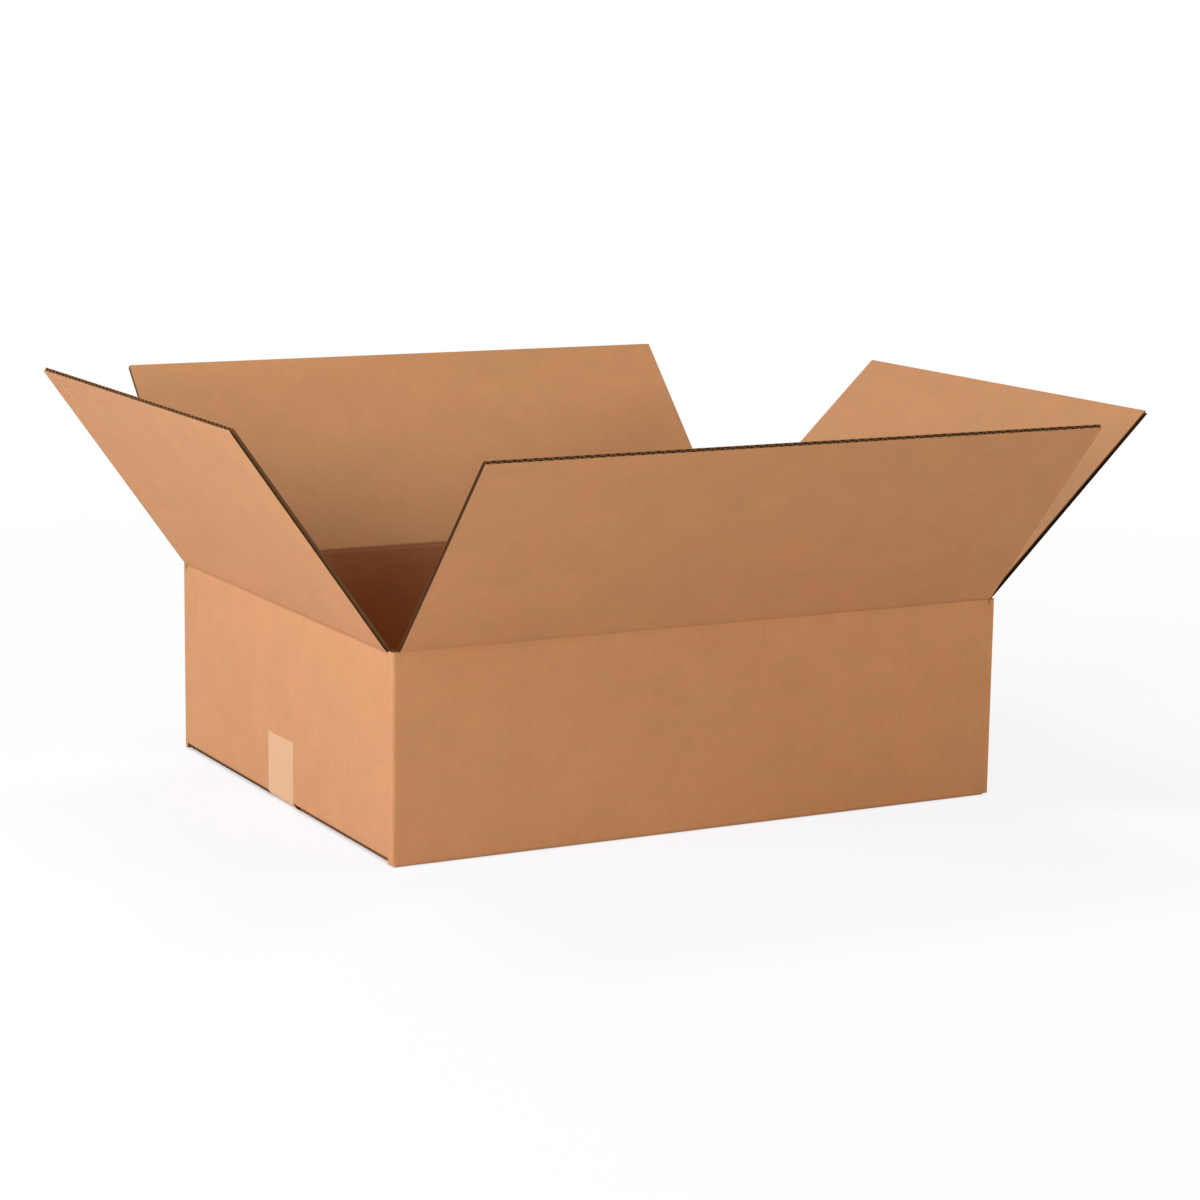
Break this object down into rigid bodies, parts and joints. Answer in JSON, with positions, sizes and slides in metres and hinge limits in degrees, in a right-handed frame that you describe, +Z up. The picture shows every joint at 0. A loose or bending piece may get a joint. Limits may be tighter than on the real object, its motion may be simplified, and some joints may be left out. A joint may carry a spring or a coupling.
{
  "type": "open cardboard box",
  "caption": "Open corrugated cardboard shipping box with hinged top flaps folded outward and a taped bottom.",
  "frame": {"origin": "centre of the underside, on the floor midway between the walls", "axes": "+X along the long walls towards the right end, +Y from the front wall to the back wall, +Z up"},
  "size_m": [0.7812, 0.6905, 0.3216],
  "materials": {
    "kraft_board": "matte",
    "kraft_flaps": "matte",
    "tape": "satin"
  },
  "bodies": {
    "carton": {"carton_body": "kraft_board", "bottom_tape": "tape"},
    "front_flap": {"front_flap": "kraft_flaps"},
    "back_flap": {"back_flap": "kraft_flaps"},
    "left_flap": {"left_flap": "kraft_flaps"},
    "right_flap": {"right_flap": "kraft_flaps"}
  },
  "joints": [
    {"name": "front_crease", "type": "hinge", "parent": "carton", "child": "front_flap", "pos_m": [0, -0.2044, 0.1573], "axis": [1, 0, 0], "range_deg": [-131.5, 95.5]},
    {"name": "back_crease", "type": "hinge", "parent": "carton", "child": "back_flap", "pos_m": [0, 0.2044, 0.1573], "axis": [-1, 0, 0], "range_deg": [-134.5, 92.5]},
    {"name": "left_crease", "type": "hinge", "parent": "carton", "child": "left_flap", "pos_m": [-0.2568, 0, 0.1546], "axis": [0, -1, 0], "range_deg": [-125.7, 100.3]},
    {"name": "right_crease", "type": "hinge", "parent": "carton", "child": "right_flap", "pos_m": [0.2568, 0, 0.1546], "axis": [0, 1, 0], "range_deg": [-136.2, 89.8]}
  ]
}
